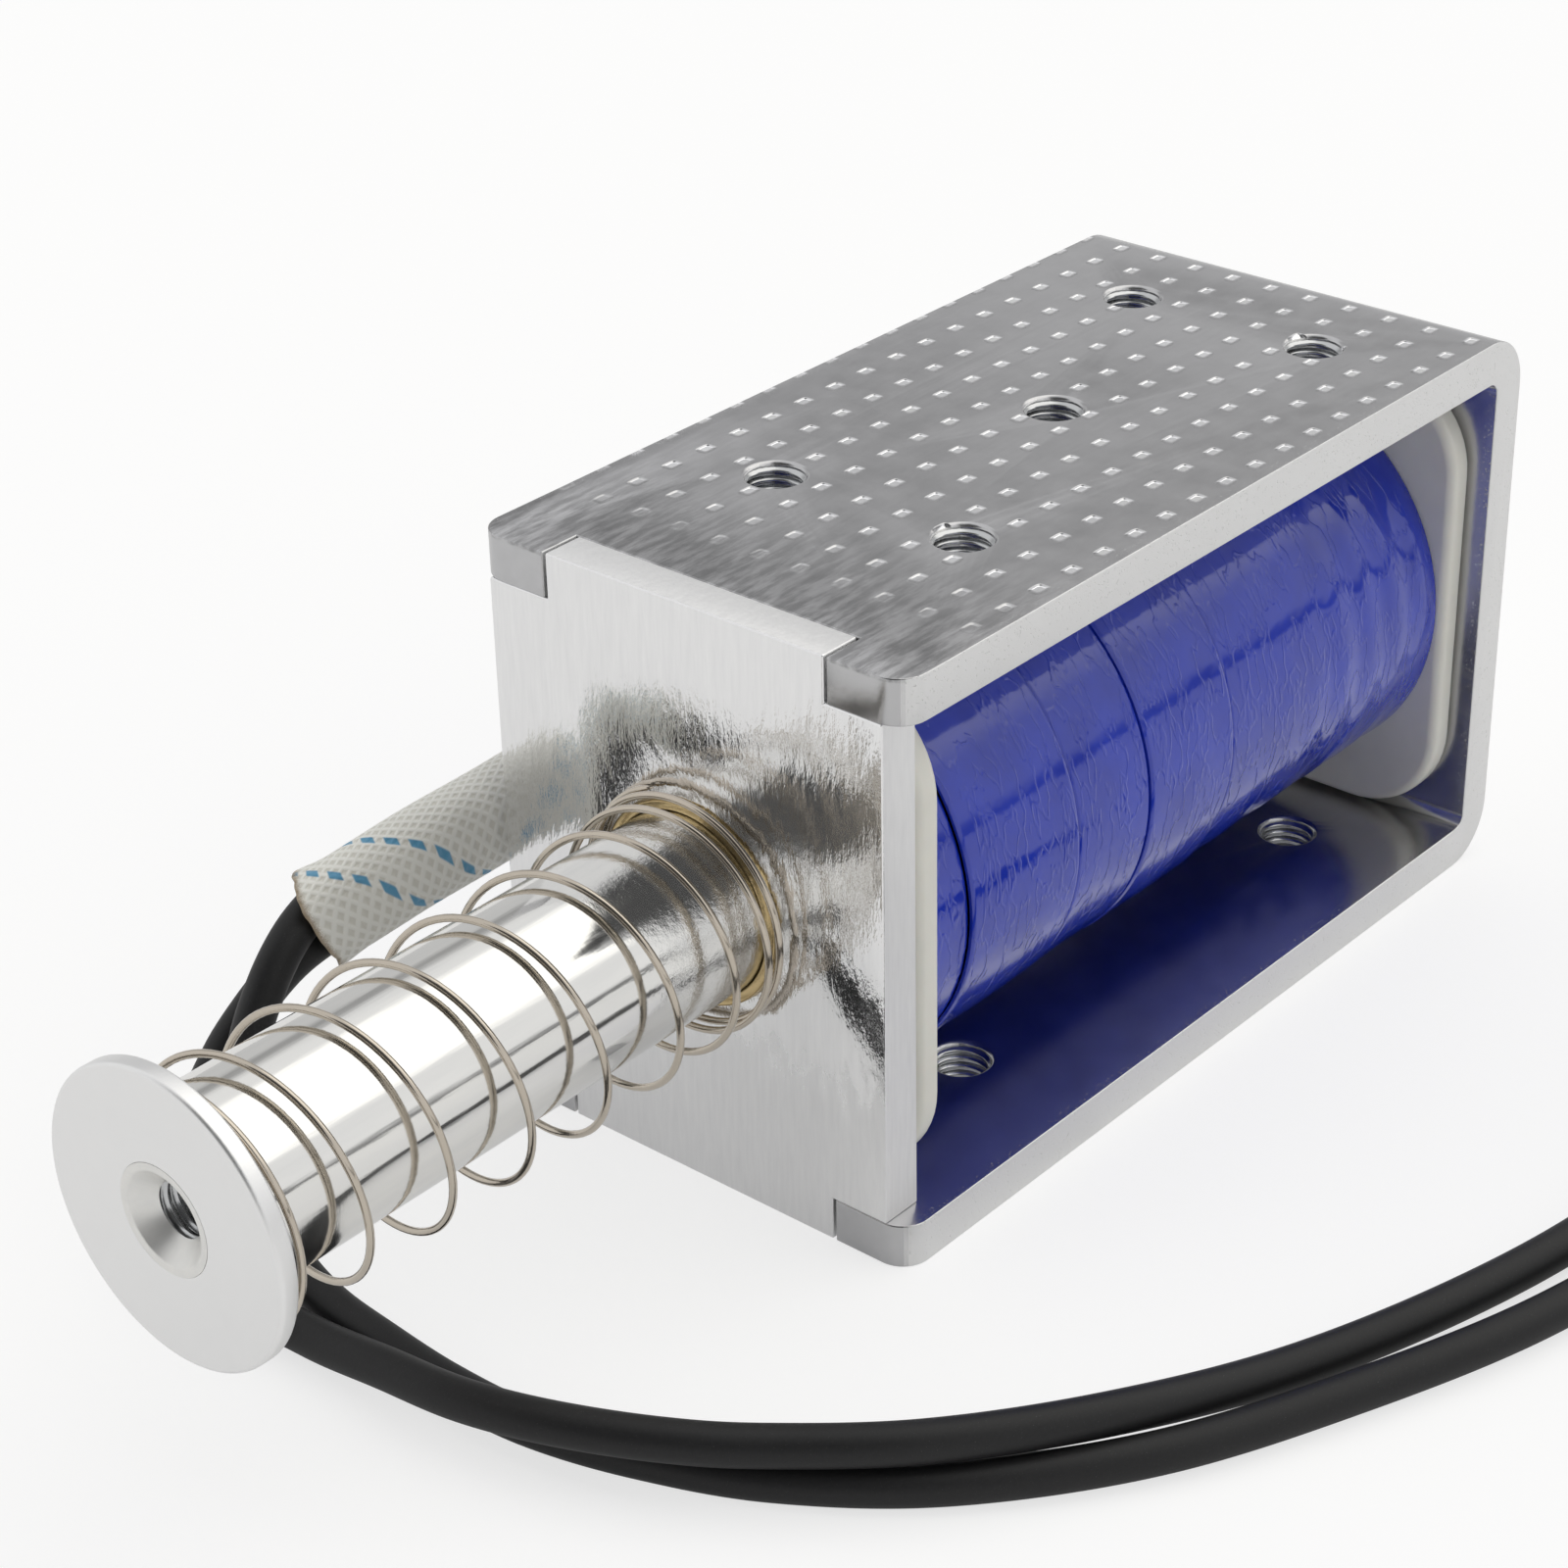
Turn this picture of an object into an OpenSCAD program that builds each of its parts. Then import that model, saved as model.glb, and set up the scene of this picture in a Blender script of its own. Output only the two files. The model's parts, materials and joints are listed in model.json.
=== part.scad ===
// Push pull solenoid: a channel frame holds a taped coil, and a spring-loaded plunger with a push rod
// slides through it. Millimetres. +X runs along the plunger from its head to the rear wall, the leads
// run round the -Y side, and +Z is up. The origin is the centre of the tapped hole pattern, on the
// underside of the base. The plunger stands out at the front, which is its rest position.

/* [Frame] */
// Overall length of the channel frame
frame_len = 83.5; // [80:0.5:88]
// Width of the channel frame
frame_w = 42; // [41:0.5:46]
// Overall height of the channel frame
frame_h = 50.6; // [50:0.2:54]
// Thickness of the frame's plate
plate_t = 3.8; // [3.2:0.1:4]
// Inside radius of the two rear bends
bend_r = 1.2; // [0.8:0.1:2]
// Radius of the front corners, seen from above
corner_r = 2.5; // [1:0.5:4]

/* [Mounting holes] */
// Distance from the front edge to the first row of tapped holes
hole_inset = 21.5; // [19:0.5:23]
// Spacing of the tapped holes along the frame
hole_pitch_x = 47.5; // [44:0.5:50]
// Spacing of the tapped holes across the frame
hole_pitch_y = 18.6; // [16:0.2:22]
// Radius of the tapped holes
tap_r = 2.1; // [1.65:0.05:2.5]

/* [Front plate] */
// Width of the front plate
front_w = 38.6; // [37.6:0.1:39]
// Distance of the front plate's middle from the plunger's axis
front_shift = 0.4; // [0:0.1:0.6]
// Width of the tongue that sits in the frame's notch
tongue_w = 27.2; // [24:0.2:30]
// Gap on each side of the tongue
tongue_gap = 0.3; // [0.1:0.05:0.5]

/* [Coil] */
// Width of the bobbin's flanges
flange_w = 38.2; // [37:0.2:38.6]
// Height of the bobbin's flanges
flange_h = 42; // [41:0.2:42.4]
// Thickness of the bobbin's flanges
flange_t = 2.8; // [2:0.1:3.2]
// Corner radius of the bobbin's flanges
flange_r = 8.4; // [6:0.2:10]
// Radius of the copper winding
winding_r = 17.8; // [17:0.1:17.9]

/* [Plunger] */
// Radius of the plunger
plunger_r = 7.7; // [7.5:0.05:7.8]
// Clearance between the plunger and the guide tube, on the radius
slide_gap = 0.05; // [0.03:0.01:0.08]
// Distance from the front plate to the back of the plunger's disc, at rest
reach = 51; // [48:0.5:54]
// Stroke of the plunger
stroke = 35; // [25:1:36]
// Radius of the disc on the plunger's head
disc_r = 11.6; // [11:0.1:13]
// Thickness of that disc
disc_t = 1.5; // [1.2:0.1:2]
// Radius of the push rod
rod_r = 2; // [1.5:0.1:2.4]

/* [Return spring] */
// Diameter of the spring wire
wire_d = 0.6; // [0.5:0.05:0.7]
// Mean radius of the spring
spring_r = 9.6; // [9.4:0.1:10]
// Number of turns in all
spring_turns = 10.25; // [9:0.25:11]

/* [Leads] */
// Diameter of a lead's insulation
lead_d = 3.2; // [3:0.05:3.2]
// Length of the bare end of a lead
bare_len = 6; // [4:0.5:8]

/* [Hidden] */
$fn = 72;

// Places along the frame
x_front = -(hole_inset + hole_pitch_x / 2);
x_rear = x_front + frame_len;
x_plate = x_front + plate_t;
x_wall = x_rear - plate_t;
axis_z = frame_h / 2;
inner_h = frame_h - 2 * plate_t;

// Tapped holes
hole_chamfer = 0.55;

// Bobbin, guide tube and winding
tube_r = plunger_r + slide_gap;
tube_wall = 0.5;
barrel_r = tube_r + tube_wall + 1.35;
barrel_gap = 0.1;
x_flange_front = x_plate + flange_t;
x_flange_rear = x_wall - flange_t;
winding_gap = 0.1;
wire_slot = [1.2, 4];
flange_edge = 1;

// Tape: edges of the five bands, measured back from the front of the frame, and their radii
band_edges = [x_flange_front - x_front, 11, 24.5, 34, 45.5, x_flange_rear - x_front];
band_radii = [18.35, 18.75, 18.6, 18.75, 18.55];

// Guide tube's lip
lip_r = 8.6;
lip_t = 0.45;

// Fixed core: conical seat, spigot through the rear wall and its staked lip
seat_depth = 7.5;
seat_floor_r = 3.2;
seat_gap = 0.4;
nose_tip_r = 3.2;
nose_root_r = plunger_r - 0.2;
spigot_r = 4.95;
wall_hole_r = 5;
stake_r = 5.6;
stake_t = 0.6;

// Plunger and push rod
x_disc = x_front - reach;
x_head = x_disc - disc_t;
head_spigot_r = 4.3;
head_chamfer = 0.4;
countersink_r = 3.7;
countersink_depth = 1.4;
head_bore_depth = 16;
x_seat_floor = x_front + 69.5;
x_nose = x_seat_floor - seat_gap - stroke;
rod_seat = 12;
rod_tail = 6;
x_rod_end = x_rear + rod_tail;
groove_r = rod_r - 0.5;
ring_t = 0.8;
x_ring = x_rear + stake_t + 0.05;
ring_r = 4.2;
ring_slot = 2.5;

// Spring: closed turns at each end, and the turns over which the pitch opens and closes
closed_turns = 1;
opening_turns = 1.4;
closing_turns = 2.8;
spring_sag = 1.1;
closed_pitch = wire_d + 0.02;
spring_clear = 0.05;
x_spring_front = x_disc + wire_d / 2 + spring_clear;
x_spring_rear = x_front - wire_d / 2 - spring_clear;
spring_len = x_spring_rear - x_spring_front;
open_turns = spring_turns - 2 * closed_turns - (opening_turns + closing_turns) / 2;
open_pitch = closed_pitch + (spring_len - closed_pitch * spring_turns) / open_turns;
spring_steps = 22;
wire_sides = 8;

// Leads: two lie one above the other in the tape pad and in the sleeve, then fall to the floor
lead_r = lead_d / 2;
lead_step = 3.3;
lead_sides = 8;
rings_per_span = 2;
pad_x = [-21.25, 0.75];
pad_centre = [18.9, axis_z];
pad_r = 7.4;
pad_seat_r = band_radii[3] + 0.03;
cavity_end = -2.25;
joint_x = [-9.23, -2.25];
sleeve_rear = [-18.25, 22.9, axis_z];
sleeve_mouth = [-62.25, 24.1, 22.5];
sleeve_step = 3.6;
sleeve_in_r = 1.9;
sleeve_wall = 0.7;
mouth_angle = 44;

// Route of each lead, from its joint in the pad to its far end
route_a = [
    [-9.25, 22.9, 23.65], [-18, 22.9, 23.65], [-30, 23.22, 22.9], [-42, 23.55, 22.15], [-50, 23.77, 21.63],
    [-56, 23.93, 21.22], [-61, 24.1, 20.8], [-64.6, 24.65, 19.6], [-68, 25.3, 17.1], [-71.6, 25.6, 13.9],
    [-75.6, 24.1, 10.9], [-79.8, 20.4, 6.3], [-81.3, 14.4, 3], [-81, 6.7, 2.3], [-80.9, -1.1, 3.2],
    [-80.8, -9, 4.2], [-79.2, -16.4, 4.9], [-75.8, -23.9, 5.1], [-71.6, -29.9, 5], [-64.4, -38, 5],
    [-53.4, -45.1, 4], [-39, -50.8, 2], [-24, -55.9, 1.66], [-8.8, -59.2, 1.62], [8.4, -60.2, 1.62],
    [25.4, -60.4, 1.62]];
route_b = [
    [-9.25, 22.9, 26.95], [-18, 22.9, 26.95], [-30, 23.22, 26.2], [-42, 23.55, 25.45], [-50, 23.77, 24.93],
    [-56, 23.93, 24.55], [-60.6, 23.95, 24.25], [-64.85, 23.45, 22.95], [-68.5, 22.95, 19.95],
    [-71.5, 22.35, 15.7], [-73.8, 20.7, 10.5], [-75.3, 17.9, 6.3], [-76.3, 14, 3.4], [-77.1, 9, 2],
    [-77.6, 2.6, 1.68], [-78, -4.9, 1.62], [-77.5, -12.5, 1.62], [-75.2, -20.8, 1.62], [-71, -30, 1.62],
    [-63.6, -39.6, 1.62], [-52, -48.8, 1.62], [-38, -55.7, 1.62], [-21.8, -61.7, 1.62], [-4, -65.2, 1.62],
    [12, -66.2, 1.62], [27, -66.4, 1.62]];

// ---- Shared shapes ----

// A cylinder on the plunger's axis, from x0 to x1
module x_cyl(x0, x1, r) {
    translate([x0, 0, axis_z]) rotate([0, 90, 0]) cylinder(h = x1 - x0, r = r);
}

// A solid turned about the plunger's axis from [radius, x] points
module x_turned(points) {
    translate([0, 0, axis_z]) rotate([0, 90, 0]) rotate_extrude() polygon(points);
}

// A plate across the frame, with its outline drawn in Y and Z
module x_plate(x0, t) {
    translate([x0, 0, 0]) rotate([90, 0, 90]) linear_extrude(t) children();
}

// A rectangle with round corners, centred
module round_rect(w, h, r) {
    square([w, h - 2 * r], center = true);
    square([w - 2 * r, h], center = true);
    for (sx = [-1, 1], sy = [-1, 1]) translate([sx * (w / 2 - r), sy * (h / 2 - r)]) circle(r);
}

// A slot with round ends, its two centres step apart
module slot(r, step) {
    square([step, 2 * r], center = true);
    for (s = [-1, 1]) translate([s * step / 2, 0]) circle(r);
}

// Extrudes a flat outline from p0 to p1, with the outline's X axis upright
module along(p0, p1) {
    d = p1 - p0;
    translate(p0) rotate([0, acos(d.z / norm(d)), atan2(d.y, d.x)]) linear_extrude(norm(d)) children();
}

// ---- Swept tubes ----

function point_at(route, k) = route[max(0, min(len(route) - 1, k))];
function blend(a, b, c, d, t) =
    b + 0.5 * t * (c - a + t * (2 * a - 5 * b + 4 * c - d + t * (3 * b - a - 3 * c + d)));
function smooth_route(route, steps) = concat(
    [for (k = [0:len(route) - 2], s = [0:steps - 1])
        blend(point_at(route, k - 1), route[k], route[k + 1], point_at(route, k + 2), s / steps)],
    [route[len(route) - 1]]);
function unit(v) = v / norm(v);
function tangent(path, k) = unit(point_at(path, k + 1) - point_at(path, k - 1));
function ring(centre, u, v, r, sides) =
    [for (s = [0:sides - 1]) centre + r * (cos(360 * s / sides) * u + sin(360 * s / sides) * v)];
function tube_rings(path, r, sides) = [for (k = [0:len(path) - 1])
    let (t = tangent(path, k), side = unit(cross(t, [0, 0, 1])))
        ring(path[k], side, cross(side, t), r, sides)];

// Skins a list of rings and closes both ends
module skin(rings) {
    n = len(rings[0]);
    last = len(rings) - 1;
    walls = [for (k = [0:last - 1], s = [0:n - 1])
        [k * n + s, k * n + (s + 1) % n, (k + 1) * n + (s + 1) % n, (k + 1) * n + s]];
    caps = [[for (s = [n - 1:-1:0]) s], [for (s = [0:n - 1]) last * n + s]];
    polyhedron([for (r = rings) each r], concat(walls, caps), convexity = 6);
}

// ---- Frame ----

// A rectangle in X and Z with its two rear corners rounded
module rear_rounded(x0, x1, z0, z1, r) {
    translate([x0, z0]) square([x1 - r - x0, z1 - z0]);
    translate([x0, z0 + r]) square([x1 - x0, z1 - z0 - 2 * r]);
    for (z = [z0 + r, z1 - r]) translate([x1 - r, z]) circle(r);
}

module channel() {
    translate([0, frame_w / 2, 0]) rotate([90, 0, 0]) linear_extrude(frame_w) difference() {
        rear_rounded(x_front, x_rear, 0, frame_h, bend_r + plate_t);
        rear_rounded(x_front - plate_t, x_wall, plate_t, frame_h - plate_t, bend_r);
    }
}

// The frame seen from above, with its front corners rounded
module plan() {
    translate([x_front + corner_r, -frame_w / 2]) square([frame_len - corner_r, frame_w]);
    translate([x_front, corner_r - frame_w / 2]) square([frame_len, frame_w - 2 * corner_r]);
    for (s = [-1, 1]) translate([x_front + corner_r, s * (frame_w / 2 - corner_r)]) circle(corner_r);
}

// Tool for a tapped hole through a plate from z0 up to z1, chamfered at both faces
module tapped_hole(x, y, z0, z1) {
    wide = tap_r + 2 * hole_chamfer;
    translate([x, y, z0 - 1]) cylinder(h = z1 - z0 + 2, r = tap_r);
    translate([x, y, z1 - hole_chamfer]) cylinder(h = 2 * hole_chamfer, r1 = tap_r, r2 = wide);
    translate([x, y, z0 - hole_chamfer]) cylinder(h = 2 * hole_chamfer, r1 = wide, r2 = tap_r);
}

module tapped_pattern(z0, z1) {
    tapped_hole(0, 0, z0, z1);
    for (sx = [-1, 1], sy = [-1, 1]) tapped_hole(sx * hole_pitch_x / 2, sy * hole_pitch_y / 2, z0, z1);
}

module u_frame() {
    notch_w = tongue_w + 2 * tongue_gap;
    color("silver") difference() {
        intersection() {
            channel();
            linear_extrude(frame_h) plan();
        }
        translate([x_front - 1, -notch_w / 2, -1]) cube([plate_t + 1, notch_w, frame_h + 2]);
        tapped_pattern(0, plate_t);
        tapped_pattern(frame_h - plate_t, frame_h);
        x_cyl(x_wall - 1, x_rear + 1, wall_hole_r);
    }
}

module front_plate() {
    color("lightgray") difference() {
        x_plate(x_front, plate_t) {
            translate([front_shift - front_w / 2, plate_t]) square([front_w, inner_h]);
            translate([-tongue_w / 2, 0]) square([tongue_w, frame_h]);
        }
        x_cyl(x_front - 1, x_plate + 1, tube_r + tube_wall + slide_gap);
    }
}

// ---- Coil ----

// Half the section of a disc with a rounded rim
module half_disc(r, t, edge) {
    translate([0, -t / 2]) square([r - edge, t]);
    translate([0, edge - t / 2]) square([r, t - 2 * edge]);
    for (s = [-1, 1]) translate([r - edge, s * (t / 2 - edge)]) circle(edge, $fn = 24);
}

// A plate with round corners and a rounded rim: two crossing bars and a turned disc at each corner
module flange(x0) {
    inner_y = flange_w - 2 * flange_r;
    inner_z = flange_h - 2 * flange_r;
    translate([x0 + flange_t / 2, 0, axis_z]) {
        linear_extrude(inner_z, center = true) round_rect(flange_t, flange_w, flange_edge, $fn = 24);
        rotate([90, 0, 0]) linear_extrude(inner_y, center = true)
            round_rect(flange_t, flange_h, flange_edge, $fn = 24);
        for (sy = [-1, 1], sz = [-1, 1]) translate([0, sy * inner_y / 2, sz * inner_z / 2])
            rotate([0, 90, 0]) rotate_extrude($fn = 48) half_disc(flange_r, flange_t, flange_edge);
    }
}

module bobbin() {
    color("ivory") difference() {
        union() {
            flange(x_plate);
            flange(x_flange_rear);
            x_cyl(x_plate, x_wall, barrel_r);
        }
        x_cyl(x_plate - 1, x_wall + 1, tube_r + tube_wall + barrel_gap);
        translate([x_flange_front - flange_t - 1, flange_w / 2 - wire_slot[1], axis_z - wire_slot[0] / 2])
            cube([flange_t + 2, wire_slot[1] + 1, wire_slot[0]]);
    }
}

module sleeve_ring(x0, x1, r_in, r_out) {
    x_turned([[r_in, x0], [r_out, x0], [r_out, x1], [r_in, x1]]);
}

module coil_winding() {
    color("peru")
        sleeve_ring(x_flange_front + winding_gap, x_flange_rear - winding_gap, barrel_r, winding_r);
}

module tape_band(k) {
    color("mediumblue")
        sleeve_ring(x_front + band_edges[k], x_front + band_edges[k + 1], winding_r, band_radii[k]);
}

module guide_tube() {
    outer = tube_r + tube_wall;
    color("darkkhaki") x_turned([[tube_r, x_front - lip_t], [lip_r, x_front - lip_t], [lip_r, x_front],
        [outer, x_front], [outer, x_wall], [tube_r, x_wall]]);
}

module fixed_core() {
    bore_r = rod_r + slide_gap;
    x_mouth = x_seat_floor - seat_depth;
    color("gray") x_turned([[bore_r, x_seat_floor], [seat_floor_r, x_seat_floor], [nose_root_r, x_mouth],
        [plunger_r, x_mouth], [plunger_r, x_wall], [spigot_r, x_wall], [spigot_r, x_rear],
        [stake_r, x_rear], [stake_r - 0.3, x_rear + stake_t], [bore_r, x_rear + stake_t]]);
}

// ---- Moving parts ----

module plunger() {
    x_root = x_nose - seat_depth;
    x_countersink = x_head + countersink_depth;
    x_bore = x_head + head_bore_depth;
    x_rod = x_nose - rod_seat;
    color("gainsboro") x_turned([[0, x_bore], [tap_r, x_bore], [tap_r, x_countersink],
        [countersink_r, x_head], [head_spigot_r, x_head], [head_spigot_r, x_disc],
        [plunger_r - head_chamfer, x_disc],
        [plunger_r, x_disc + head_chamfer], [plunger_r, x_root - 0.2], [nose_root_r, x_root],
        [nose_tip_r, x_nose], [rod_r, x_nose], [rod_r, x_rod], [0, x_rod]]);
}

module plunger_disc() {
    edge = 0.25;
    color("lightgray") x_turned([[head_spigot_r, x_head], [disc_r - edge, x_head], [disc_r, x_head + edge],
        [disc_r, x_disc - edge], [disc_r - edge, x_disc], [head_spigot_r, x_disc]]);
}

module push_rod() {
    edge = 0.4;
    color("silver") x_turned([[0, x_nose - rod_seat], [rod_r, x_nose - rod_seat], [rod_r, x_ring],
        [groove_r, x_ring], [groove_r, x_ring + ring_t], [rod_r, x_ring + ring_t], [rod_r, x_rod_end - edge],
        [rod_r - edge, x_rod_end], [0, x_rod_end]]);
}

// An E clip in the push rod's groove, open downwards
module retaining_ring() {
    lobe_r = 0.9;
    color("dimgray") x_plate(x_ring, ring_t) translate([0, axis_z]) difference() {
        circle(ring_r);
        circle(groove_r);
        translate([-ring_slot / 2, -ring_r - 1]) square([ring_slot, ring_r + 1]);
        for (a = [-50, 50]) rotate(a) translate([0, groove_r + lobe_r / 2]) circle(lobe_r);
    }
}

// How far the pitch has opened s turns past the start of a ramp that takes w turns
function ramp(s, w) = s <= 0 ? 0 : s < w ? s * s / (2 * w) : s - w / 2;
function spring_x(n) = x_spring_front + closed_pitch * n + (open_pitch - closed_pitch)
    * (ramp(n - closed_turns, opening_turns)
        - ramp(n - spring_turns + closed_turns + closing_turns, closing_turns));
// The spring touches nothing between its ends, so it hangs a little below the plunger's axis there
function spring_ring(n) =
    let (a = 360 * n, out = [0, cos(a), sin(a)], low = spring_sag * sin(180 * n / spring_turns))
        ring([spring_x(n), 0, axis_z - low] + spring_r * out, out, [-1, 0, 0], wire_d / 2, wire_sides);

module return_spring() {
    color("whitesmoke") skin([for (k = [0:spring_turns * spring_steps]) spring_ring(k / spring_steps)]);
}

// ---- Leads ----

module lead_tape() {
    color("mediumblue") difference() {
        x_plate(pad_x[0], pad_x[1] - pad_x[0]) translate(pad_centre) circle(pad_r);
        x_cyl(pad_x[0] - 1, pad_x[1] + 1, pad_seat_r);
        along([cavity_end, sleeve_rear.y, sleeve_rear.z], [pad_x[0] - 1, sleeve_rear.y, sleeve_rear.z])
            slot(lead_r + 0.05, lead_step);
        along(sleeve_rear + [0.1, 0, 0], sleeve_mouth) slot(sleeve_in_r + sleeve_wall + 0.05, sleeve_step);
    }
}

module lead_joint(route) {
    solder_r = 1.1;
    taper = 0.6;
    color("silver") translate([0, route[0].y, route[0].z - axis_z]) x_turned([[0, joint_x[0]],
        [solder_r, joint_x[0]], [solder_r, joint_x[1] - 3], [lead_r, joint_x[1] - 3 + taper],
        [lead_r, joint_x[1]], [0, joint_x[1]]]);
}

// An oval tube, cut off at a slant so that its near side is the longer
module lead_sleeve() {
    spare = 4;
    tall = sleeve_step + 2 * (sleeve_in_r + sleeve_wall) + 2;
    far = sleeve_mouth + spare * unit(sleeve_mouth - sleeve_rear);
    color("white") difference() {
        along(sleeve_rear, far) difference() {
            slot(sleeve_in_r + sleeve_wall, sleeve_step);
            slot(sleeve_in_r, sleeve_step);
        }
        translate(sleeve_mouth) rotate([0, 0, -mouth_angle]) translate([-2 * spare, -tall, -tall / 2])
            cube([2 * spare, 2 * tall, tall]);
    }
}

module lead(route) {
    color("black") skin(tube_rings(smooth_route(route, rings_per_span), lead_r, lead_sides));
}

module lead_tip(route) {
    far = route[len(route) - 1];
    color("silver") translate(far) rotate([0, 90, 0]) cylinder(h = bare_len, r = 0.8);
}

u_frame();
front_plate();
bobbin();
coil_winding();
tape_band(0);  // tape_band_1
tape_band(1);  // tape_band_2
tape_band(2);  // tape_band_3
tape_band(3);  // tape_band_4
tape_band(4);  // tape_band_5
guide_tube();
fixed_core();
plunger();
plunger_disc();
push_rod();
retaining_ring();
return_spring();
lead_tape();
lead_joint(route_a);  // lead_joint_a
lead_joint(route_b);  // lead_joint_b
lead_sleeve();
lead(route_a);  // lead_a
lead(route_b);  // lead_b
lead_tip(route_a);  // lead_tip_a
lead_tip(route_b);  // lead_tip_b
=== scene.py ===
"""Looks of the push pull solenoid, built over its packed construction.

Lengths are written in millimetres in the row frame and become metres when a mesh is made. +X runs along the
plunger from its head to the rear wall, the leads run round the -Y side and +Z is up."""
import json
import math

import bmesh
import bpy
import numpy as np
from mathutils import Matrix, Vector

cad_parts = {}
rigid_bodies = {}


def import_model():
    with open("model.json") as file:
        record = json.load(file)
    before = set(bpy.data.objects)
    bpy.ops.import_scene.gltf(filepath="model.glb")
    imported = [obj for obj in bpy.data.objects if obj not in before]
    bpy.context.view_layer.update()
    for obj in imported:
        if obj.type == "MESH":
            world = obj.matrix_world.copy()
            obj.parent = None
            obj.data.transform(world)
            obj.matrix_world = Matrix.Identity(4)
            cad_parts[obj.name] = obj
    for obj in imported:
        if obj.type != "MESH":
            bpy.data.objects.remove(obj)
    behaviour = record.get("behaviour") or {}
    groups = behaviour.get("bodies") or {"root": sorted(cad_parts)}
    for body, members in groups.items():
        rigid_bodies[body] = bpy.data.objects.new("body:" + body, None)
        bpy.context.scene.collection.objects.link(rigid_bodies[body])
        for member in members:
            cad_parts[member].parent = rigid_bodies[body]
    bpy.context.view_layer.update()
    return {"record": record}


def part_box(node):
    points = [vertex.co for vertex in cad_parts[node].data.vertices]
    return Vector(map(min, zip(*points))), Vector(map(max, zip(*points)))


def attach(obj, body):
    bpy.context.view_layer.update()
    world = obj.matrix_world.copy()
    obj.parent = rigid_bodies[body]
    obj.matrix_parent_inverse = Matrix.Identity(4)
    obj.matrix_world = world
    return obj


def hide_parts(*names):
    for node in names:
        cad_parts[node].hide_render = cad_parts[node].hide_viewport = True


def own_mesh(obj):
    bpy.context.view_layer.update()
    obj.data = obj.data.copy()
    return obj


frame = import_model()

MM = 0.001
TURN = 2 * math.pi


def box_mm(node):
    """Lowest and highest corner of a CAD node, in millimetres."""
    low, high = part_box(node)
    return np.array(low) / MM, np.array(high) / MM


frame_low, frame_high = box_mm("u_frame")
disc_low, disc_high = box_mm("plunger_disc")
plunger_low, plunger_high = box_mm("plunger")
rod_low, rod_high = box_mm("push_rod")
bobbin_low, bobbin_high = box_mm("bobbin")
axis_z = (frame_low[2] + frame_high[2]) / 2
x_front, x_rear = frame_low[0], frame_high[0]
mounts = {m["name"]: m for m in frame["record"]["mounts"]}
tap_radius = mounts["top_threads"]["dims"]["hole_r_mm"]
pitch_x = mounts["top_threads"]["dims"]["spacing_x_mm"]
pitch_y = mounts["top_threads"]["dims"]["spacing_y_mm"]
plate_t = x_rear - bobbin_high[0]


# ---------------------------------------------------------------- camera

def aim_camera():
    """A long lens in front of the plunger's head, to its near side and above, rolled slightly."""
    azimuth, elevation, roll = (math.radians(a) for a in (311.28, 29.12, -1.41))
    right = Vector((math.cos(azimuth), math.sin(azimuth), 0))
    back = Vector((math.sin(azimuth) * math.cos(elevation), -math.cos(azimuth) * math.cos(elevation),
                   math.sin(elevation)))
    up = back.cross(right)
    side = math.cos(roll) * right + math.sin(roll) * up
    top = math.cos(roll) * up - math.sin(roll) * right
    data = bpy.data.cameras.new("camera")
    data.lens = 82.16
    data.sensor_width = 36
    data.clip_start = 0.01
    camera = bpy.data.objects.new("camera", data)
    camera.matrix_world = Matrix.Translation(Vector((-215.9, -159.5, 165.4)) * MM) @ Matrix(
        (side, top, back)).transposed().to_4x4()
    bpy.context.scene.collection.objects.link(camera)
    bpy.context.scene.camera = camera


aim_camera()


# ---------------------------------------------------------------- meshes

def grid_faces(rows, cols, wrap_rows=False, wrap_cols=False):
    """Quads between neighbours of a rows by cols grid of points; a wrapped way joins its end to its start."""
    r, c = np.meshgrid(np.arange(rows if wrap_rows else rows - 1), np.arange(cols if wrap_cols else cols - 1),
                       indexing="ij")
    r_next, c_next = (r + 1) % rows, (c + 1) % cols
    corners = [r * cols + c, r * cols + c_next, r_next * cols + c_next, r_next * cols + c]
    return np.stack(corners, -1).reshape(-1, 4)


def make_piece(name, points, faces, finish, body, nodes=(), uv=None, sharp=35, even=True,
               period=None):
    """A named piece from points in millimetres. Doubled points are merged, and edges over sharp degrees
    stay crisp. Where its map closes on itself after a period, the last faces before the seam run on past
    it."""
    mesh = bpy.data.meshes.new(name)
    mesh.from_pydata((np.asarray(points, float).reshape(-1, 3) * MM).tolist(), [], np.asarray(faces).tolist())
    if uv is not None:
        layer = mesh.uv_layers.new(name="UVMap")
        corner = np.empty(len(mesh.loops), np.int32)
        mesh.loops.foreach_get("vertex_index", corner)
        spots = np.asarray(uv, float).reshape(-1, 2)[corner]
        if period:
            u = spots.reshape(-1, 4, 2)[..., 0]
            u[u.max(1, keepdims=True) - u > period / 2] += period
        layer.data.foreach_set("uv", spots.ravel())
    return dress(name, mesh, finish, body, nodes, sharp, even)


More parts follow.
